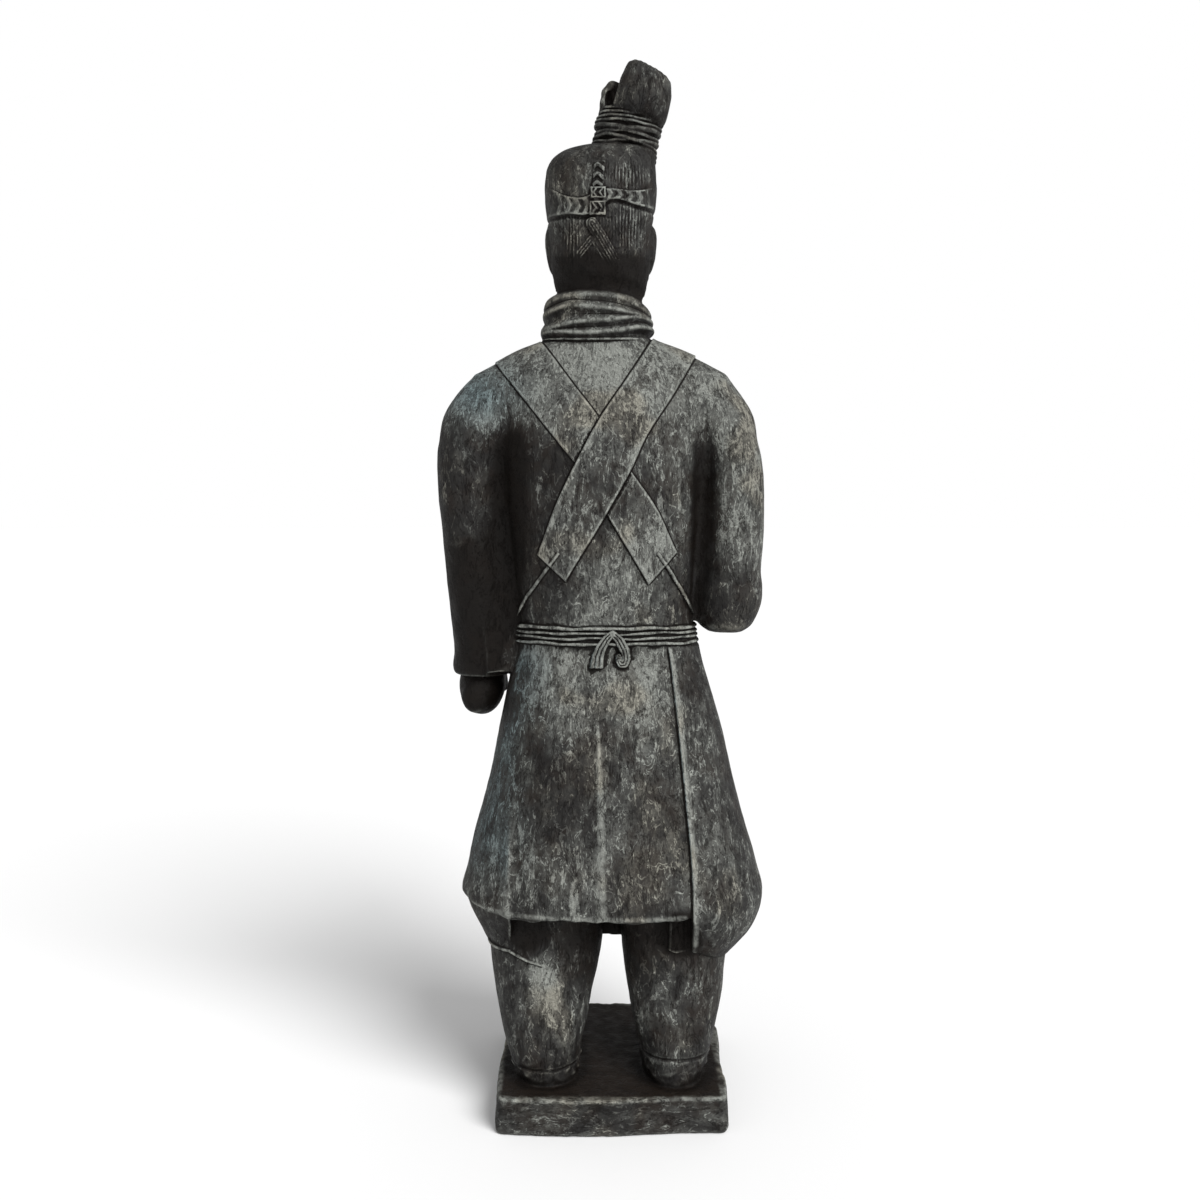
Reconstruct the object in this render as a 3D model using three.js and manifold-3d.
// Garden copy of a terracotta warrior: one cast figure, standing on the plinth that it is cast with.
// Millimetres, +Z up. The figure faces -Y, so +X is its own left. The origin is the middle of the plinth's
// underside. Every form is a closed loft, sweep or extrusion, and all of them are joined into one solid.
import * as THREE from "three";
import { mergeVertices } from "three/addons/utils/BufferGeometryUtils.js";
import Module from "manifold-3d";

const wasm = await Module();
wasm.setup();

// ---- Driving dimensions ----
const PLINTH = { width: 215, depth: 222, height: 35, corner: 10, batter: 3, arris: 3 };
const LEAN = { from: 330, to: 620, shift: 10 }; // the upper body stands this far to the figure's left
const BELT = { bottom: 452, strands: 4, strand: 4.3, proud: 4 };
const HEM = 202; // hem of the outer robe, across the back
const UNDER_HEM = 147; // hem of the robe below it
const ROUND = 32; // points round the robe
const LIMB_ROUND = 16; // points round a limb

// ---- Profiles: height, half width, depth behind and depth in front of the figure's axis ----
const ROBE = [
  [147, 112, 72, 74],
  [175, 132, 84, 86],
  [206, 147, 92, 93],
  [250, 138, 90, 91],
  [300, 124, 85, 88],
  [350, 111, 79, 85],
  [400, 97, 72, 81],
  [461, 86, 65, 77],
  [520, 87, 69, 82],
  [580, 92, 74, 84],
  [640, 106, 73, 78],
  [690, 104, 58, 62],
  [720, 80, 46, 48],
  [748, 44, 36, 38],
];
const SHOULDERS = [
  [620, 122, 40, 42],
  [645, 152, 47, 48],
  [670, 147, 51, 50],
  [690, 136, 49, 48],
  [707, 118, 46, 45],
  [724, 93, 42, 41],
  [738, 58, 38, 37],
  [746, 40, 32, 32],
];
const HEAD = [
  [780, 45, 40, 30],
  [794, 46, 42, 50],
  [812, 47, 47, 56],
  [835, 50, 52, 56],
  [860, 52, 56, 57],
  [884, 52.5, 56, 55],
  [900, 50, 51, 48],
  [912, 42, 40, 36],
  [919, 27, 23, 20],
];
const SCARF = [
  [737, 50, 42, 46],
  [741, 55, 48, 54],
  [748, 52, 46, 52],
  [755, 55, 49, 55],
  [762, 50, 45, 51],
  [769, 53, 47, 52],
  [776, 48, 43, 46],
  [783, 49, 43, 44],
  [789, 42, 37, 37],
];
const LEG = [
  [20, 26, 38, 44],
  [35, 28, 38, 45],
  [50, 35, 37, 47],
  [74, 41, 39, 49],
  [106, 45, 43, 50],
  [140, 51, 48, 52],
  [205, 54, 54, 56],
];
const LEGS = {
  left: { foot: 61, top: 67, ankle: 46, hip: 20 },
  right: { foot: -61, top: -63, ankle: 49, hip: 20 },
};
const TOPKNOT = [
  [900, -10, 29],
  [915, -12, 31],
  [924, -13, 33],
  [930, -14, 31],
  [938, -17, 34],
  [946, -19, 33],
  [956, -23, 34],
];

// ---- Small tools ----
const smooth = (t) => {
  const s = Math.min(1, Math.max(0, t));
  return s * s * (3 - 2 * s);
};
const lean = (z) => LEAN.shift * smooth((z - LEAN.from) / (LEAN.to - LEAN.from));

// A smooth function through rows of [height, value, ...], read at column `column`.
function through(rows, column) {
  const slope = rows.map((row, i) => {
    const [a, b] = [rows[Math.max(0, i - 1)], rows[Math.min(rows.length - 1, i + 1)]];
    return (b[column] - a[column]) / (b[0] - a[0]);
  });
  return (z) => {
    let i = 0;
    while (i < rows.length - 2 && z > rows[i + 1][0]) i++;
    const [a, b] = [rows[i], rows[i + 1]];
    const gap = b[0] - a[0];
    const t = Math.min(1, Math.max(0, (z - a[0]) / gap));
    const bend = t * (1 - t) * gap * (slope[i] * (1 - t) - slope[i + 1] * t);
    return a[column] + (b[column] - a[column]) * smooth(t) + bend;
  };
}

// A closed ring at height z: a rounded box of half width `half`, `back` behind and `front` before its middle.
function oval({ x = 0, y = 0, z, half, back, front, square = 2.3, count = ROUND }) {
  const bow = (v) => Math.sign(v) * Math.abs(v) ** (2 / square);
  return Array.from({ length: count }, (_, i) => {
    const turn = (2 * Math.PI * i) / count;
    const across = half * bow(Math.cos(turn));
    const along = bow(Math.sin(turn));
    return new THREE.Vector3(x + across, y + along * (along > 0 ? back : front), z);
  });
}

// Joins rings of equally many points, given from bottom to top, into one closed body with flat ends.
function loft(rings) {
  const count = rings[0].length;
  const points = rings.flat();
  const faces = [];
  for (let r = 0; r < rings.length - 1; r++)
    for (let i = 0; i < count; i++) {
      const j = (i + 1) % count;
      const [a, b] = [r * count + i, r * count + j];
      faces.push(a, b, b + count, a, b + count, a + count);
    }
  const capAt = (ring, flip) => {
    const middle = ring.reduce((sum, p) => sum.add(p), new THREE.Vector3()).divideScalar(count);
    points.push(middle);
    const first = ring === rings[0] ? 0 : (rings.length - 1) * count;
    for (let i = 0; i < count; i++) {
      const [a, b] = [first + i, first + ((i + 1) % count)];
      faces.push(points.length - 1, flip ? b : a, flip ? a : b);
    }
  };
  capAt(rings[0], true);
  capAt(rings[rings.length - 1], false);
  return new THREE.BufferGeometry().setFromPoints(points).setIndex(faces);
}

// A three.js geometry as a solid that can be joined and cut.
function solid(geometry) {
  const bare = geometry.clone();
  for (const extra of ["normal", "uv"]) bare.deleteAttribute(extra);
  const merged = mergeVertices(bare, 1e-4);
  const made = new wasm.Manifold(
    new wasm.Mesh({
      numProp: 3,
      vertProperties: merged.attributes.position.array,
      triVerts: new Uint32Array(merged.index.array),
    }),
  );
  if (made.volume() <= 0) throw new Error("a form is inside out");
  return made;
}
const joined = (solids) => solids.reduce((sum, next) => sum.add(next));

// A standing form from rows of [height, half width, back, front], grown sideways by `grow`.
function standing(rows, { from, to, step, grow = 0, place = (z) => [lean(z), 0], square, count } = {}) {
  const [half, back, front] = [1, 2, 3].map((column) => through(rows, column));
  const low = from ?? rows[0][0];
  const high = to ?? rows[rows.length - 1][0];
  const levels = Math.max(1, Math.round((high - low) / (step ?? 20)));
  const rings = Array.from({ length: levels + 1 }, (_, i) => {
    const z = low + ((high - low) * i) / levels;
    const [x, y] = place(z);
    const sizes = { half: half(z) + grow, back: back(z) + grow, front: front(z) + grow };
    return oval({ x, y, z, square, count, ...sizes });
  });
  return solid(loft(rings));
}

// A limb along a curve; `sizes` are [half width, half depth] at even steps along it.
function limb(path, sizes, steps = 11) {
  const curve = new THREE.CatmullRomCurve3(path.map((p) => new THREE.Vector3(...p)));
  const rows = sizes.map(([half, deep], i) => [i / (sizes.length - 1), half, deep]);
  const [half, deep] = [through(rows, 1), through(rows, 2)];
  const across = new THREE.Vector3(1, 0, 0);
  const rings = Array.from({ length: steps + 1 }, (_, i) => {
    const t = i / steps;
    const [middle, ahead] = [curve.getPointAt(t), curve.getTangentAt(t)];
    const depth = new THREE.Vector3().crossVectors(ahead, across).normalize();
    return Array.from({ length: LIMB_ROUND }, (_, k) => {
      const turn = (2 * Math.PI * k) / LIMB_ROUND;
      return middle
        .clone()
        .addScaledVector(across, half(t) * Math.cos(turn))
        .addScaledVector(depth, deep(t) * Math.sin(turn));
    });
  });
  return solid(loft(rings));
}

// A flat outline in X and Z, pushed through from y = front to y = back.
function prism(corners, front, back) {
  const shape = new THREE.Shape(corners.map(([x, z]) => new THREE.Vector2(x, z)));
  const geometry = new THREE.ExtrudeGeometry(shape, { depth: back - front, bevelEnabled: false });
  return solid(geometry.rotateX(Math.PI / 2).translate(0, back, 0));
}

function ball(x, y, z, rx, ry, rz) {
  const geometry = new THREE.SphereGeometry(1, 12, rx > 20 ? 8 : 5).rotateX(Math.PI / 2);
  return solid(geometry.scale(rx, ry, rz).translate(x, y, z));
}

function block(x0, x1, y0, y1, z0, z1) {
  const geometry = new THREE.BoxGeometry(x1 - x0, y1 - y0, z1 - z0);
  return solid(geometry.translate((x0 + x1) / 2, (y0 + y1) / 2, (z0 + z1) / 2));
}

// ---- Plinth ----
function plinth() {
  const { width, depth, height, corner, batter, arris } = PLINTH;
  const ring = (z, inset) => {
    const [w, d] = [width / 2 - inset, depth / 2 - inset];
    const shape = new THREE.Shape();
    shape.absarc(w - corner, d - corner, corner, 0, Math.PI / 2);
    shape.absarc(corner - w, d - corner, corner, Math.PI / 2, Math.PI);
    shape.absarc(corner - w, corner - d, corner, Math.PI, 1.5 * Math.PI);
    shape.absarc(w - corner, corner - d, corner, 1.5 * Math.PI, 2 * Math.PI);
    const outline = shape.getPoints(4);
    if (outline[0].distanceTo(outline[outline.length - 1]) < 1e-6) outline.pop();
    return outline.map((p) => new THREE.Vector3(p.x, p.y, z));
  };
  return solid(
    loft([
      ring(0, 1 - batter),
      ring(arris, -batter),
      ring(height - arris, 0),
      ring(height, arris),
    ]),
  );
}

// ---- Legs and shoes ----
function leg({ foot, top, ankle, hip }) {
  const rise = (z) => smooth((z - PLINTH.height) / (HEM - PLINTH.height));
  const place = (z) => [
    foot + (top - foot) * rise(z),
    ankle + (hip - ankle) * rise(z),
  ];
  return standing(LEG, { from: 20, to: 205, step: 23, place, square: 2.1, count: 20 });
}

function shoe(x) {
  const rows = [
    [22, 25, 66, 74],
    [40, 29, 68, 78],
    [52, 27, 62, 72],
    [60, 20, 44, 52],
  ];
  return standing(rows, { step: 9, place: () => [x, 14], square: 3.2, count: 20 });
}

// ---- Robe ----
const backOpening = () => block(-58, 62, 18, 140, 100, HEM - 2);
const underRobe = () => {
  const place = () => [5, 0];
  const grown = standing(ROBE, { from: UNDER_HEM, to: 227, step: 20, grow: -6, place });
  return grown.subtract(backOpening());
};
const body = () => standing(ROBE, { from: HEM, to: 748, step: 34 });
// The front of the robe laps round the figure's right side and ends in a long edge down the back.
function lappedPanel() {
  const place = (z) => [lean(z) + 3, 0];
  const layer = standing(ROBE, { from: UNDER_HEM + 6, to: 462, step: 34, grow: 4, place });
  const side = prism([[-52, 470], [-76, 140], [-200, 140], [-200, 470]], -30, 150);
  const front = prism([[200, 470], [200, 140], [-200, 140], [-200, 470]], -150, -29.9);
  return layer.intersect(side.add(front)).subtract(backOpening());
}
const shoulders = () => standing(SHOULDERS, { step: 18, square: 2.1 });

// ---- Arms ----
const leftArm = () =>
  limb(
    [[110, 2, 692], [131, 2, 640], [131, 2, 570], [128, -2, 505], [126, -12, 455], [125, -18, 421]],
    [[28, 34], [36, 39], [35, 38], [32, 37], [31, 35], [29, 33]],
  );
const rightArm = () =>
  limb(
    [[-92, 2, 692], [-111, 4, 640], [-114, 6, 570], [-113, 6, 512], [-107, -30, 494], [-96, -88, 502]],
    [[28, 34], [35, 39], [35, 38], [34, 37], [31, 32], [27, 29]],
    14,
  );
const webs = () => block(72, 112, -26, 14, 440, 650).add(block(-100, -66, -26, 14, 480, 640));
// Each closed fist is a block with rounded knuckles and the thumb laid across it.
const leftHand = () => fist([127, -18, 430], Math.PI, 0, 58).add(ball(112, -38, 402, 12, 17, 11));
const rightHand = () => fist([-97, -84, 503], Math.PI / 2, 0.14, 54).add(ball(-84, -118, 519, 12, 17, 11));
function fist(wrist, pitch, yaw, length) {
  const rows = [[0, 19, 22, 22], [0.4, 23, 26, 26], [0.8, 22, 24, 24], [1, 13, 16, 16]];
  const sizes = [1, 2, 3].map((column) => through(rows, column));
  const rings = [0, 0.2, 0.4, 0.6, 0.8, 0.92, 1].map((t) => {
    const [half, back, front] = sizes.map((size) => size(t));
    return oval({ z: t * length, half, back, front, square: 2.8, count: 16 });
  });
  return solid(loft(rings).rotateX(pitch).rotateZ(yaw).translate(...wrist));
}

// ---- Carved bands that lie on the torso ----
const onTorso = (grow, bands) => standing(ROBE, { from: 475, to: 748, step: 34, grow }).intersect(joined(bands));
const BACK = [0, 140];
const underStrap = () => prism([[107, 730], [60, 745], [-64, 541], [-38, 515]], ...BACK);
const overStrap = () => prism([[-36, 745], [-82, 730], [39, 516], [67, 539]], ...BACK);
const ties = () => [
  prism([[48, 541], [51, 543], [90, 480], [87, 478]], ...BACK),
  prism([[-45, 541], [-48, 543], [-85, 480], [-82, 478]], ...BACK),
];
function shoulderStraps() {
  const rings = standing(SHOULDERS, { step: 18, square: 2.1, grow: 4 });
  const over = prism([[-36, 760], [-82, 760], [-82, 690], [-36, 690]], -60, 60);
  const under = prism([[107, 760], [62, 760], [62, 690], [107, 690]], -60, 60);
  return rings.intersect(over.add(under));
}
function armour() {
  const outline = [[82, 700], [-62, 700], [-76, 640], [-76, 500], [-60, 440], [4, 405], [68, 440], [92, 500], [92, 640]];
  const plate = standing(ROBE, { from: 400, to: 705, step: 34, grow: 6 });
  return plate.intersect(prism(outline, -150, -8));
}

// ---- Belt and its bow ----
function belt() {
  const { bottom, strands, strand, proud } = BELT;
  const [half, back, front] = [1, 2, 3].map((column) => through(ROBE, column));
  const ring = (z, grow) =>
    oval({ x: lean(z), z, half: half(z) + grow, back: back(z) + grow, front: front(z) + grow });
  const rings = [];
  for (let i = 0; i < strands; i++)
    for (const [share, swell] of [[0, 0.3], [0.5, 1]])
      rings.push(ring(bottom + strand * (i + share), proud * swell));
  rings.push(ring(bottom + strand * strands, proud * 0.3));
  return solid(loft(rings));
}
function bow() {
  const sweep = (path) => {
    const points = path.map(([x, z]) => new THREE.Vector3(x, 65, z));
    const section = new THREE.Shape().absellipse(0, 0, 7, 7, 0, 2 * Math.PI);
    const extrudePath = new THREE.CatmullRomCurve3(points);
    const settings = { steps: 6, bevelEnabled: false, extrudePath, curveSegments: 3 };
    return solid(new THREE.ExtrudeGeometry(section, settings));
  };
  return sweep([[-2, 464], [6, 458], [12, 446], [15, 436]]).add(
    sweep([[-1, 464], [-10, 458], [-16, 446], [-16, 438]]),
  );
}

// ---- Neck, head and hair ----
const headPlace = () => [9, 0];
const neck = () => standing([[700, 34, 30, 34], [800, 33, 36, 36]], { place: () => [11, 2], step: 50, count: 28 });
const scarf = () => standing(SCARF, { step: 6.5, place: () => [13, 0], square: 2.1, count: 24 });
const head = () => standing(HEAD, { step: 13, place: headPlace, square: 2.15, count: 28 });
function face() {
  const nose = new THREE.Shape([[-55, 862], [-66, 834], [-64, 829], [-50, 829]].map((p) => new THREE.Vector2(...p)));
  const bridge = new THREE.ExtrudeGeometry(nose, { depth: 11, bevelEnabled: true, bevelSize: 1.5, bevelThickness: 3 });
  const upright = new THREE.Matrix4().makeBasis(
    new THREE.Vector3(0, 1, 0),
    new THREE.Vector3(0, 0, 1),
    new THREE.Vector3(1, 0, 0),
  );
  const placed = solid(bridge.applyMatrix4(upright).translate(headPlace()[0] - 5.5, 0, 0));
  const lips = ball(9, -54, 815, 13, 7, 4.5);
  const chin = ball(9, -46, 799, 17, 13, 10);
  const ears = [58, -40].map((x) => ball(x, 3, 820, 5, 11, 23));
  return joined([placed, lips, chin, ...ears]);
}
function topknot() {
  const rings = [];
  const [middle, half] = [1, 2].map((column) => through(TOPKNOT, column));
  for (let z = 908; z <= 956; z += 8)
    rings.push(oval({ x: middle(z), y: 6, z, half: half(z), back: half(z) * 0.78, front: half(z) * 0.78, count: 18 }));
  const bun = ball(-31, 6, 972, 28, 23, 28);
  const roll = ball(-1, 6, 966, 10, 19, 13);
  return joined([solid(loft(rings)), bun, roll]);
}

const casting = joined([
  plinth(),
  ...Object.values(LEGS).map(leg),
  shoe(LEGS.left.foot),
  shoe(LEGS.right.foot),
  underRobe(),
  body(),
  lappedPanel(),
  shoulders(),
  leftArm(),
  rightArm(),
  webs(),
  leftHand(),
  rightHand(),
  onTorso(2.5, [underStrap(), ...ties()]),
  onTorso(4.5, [overStrap()]),
  shoulderStraps(),
  armour(),
  belt(),
  bow(),
  neck(),
  scarf(),
  head(),
  face(),
  topknot(),
]);

const { vertProperties, triVerts } = casting.getMesh();
const geometry = new THREE.BufferGeometry();
geometry.setAttribute("position", new THREE.BufferAttribute(vertProperties, 3));
geometry.setIndex(new THREE.BufferAttribute(triVerts, 1));
geometry.computeVertexNormals();

const castStone = new THREE.MeshStandardMaterial({ color: 0x3f3e3b, roughness: 0.75, metalness: 0 });
const statue = new THREE.Mesh(geometry, castStone);
statue.name = "warrior_statue";

const group = new THREE.Group();
group.add(statue);
export default group;
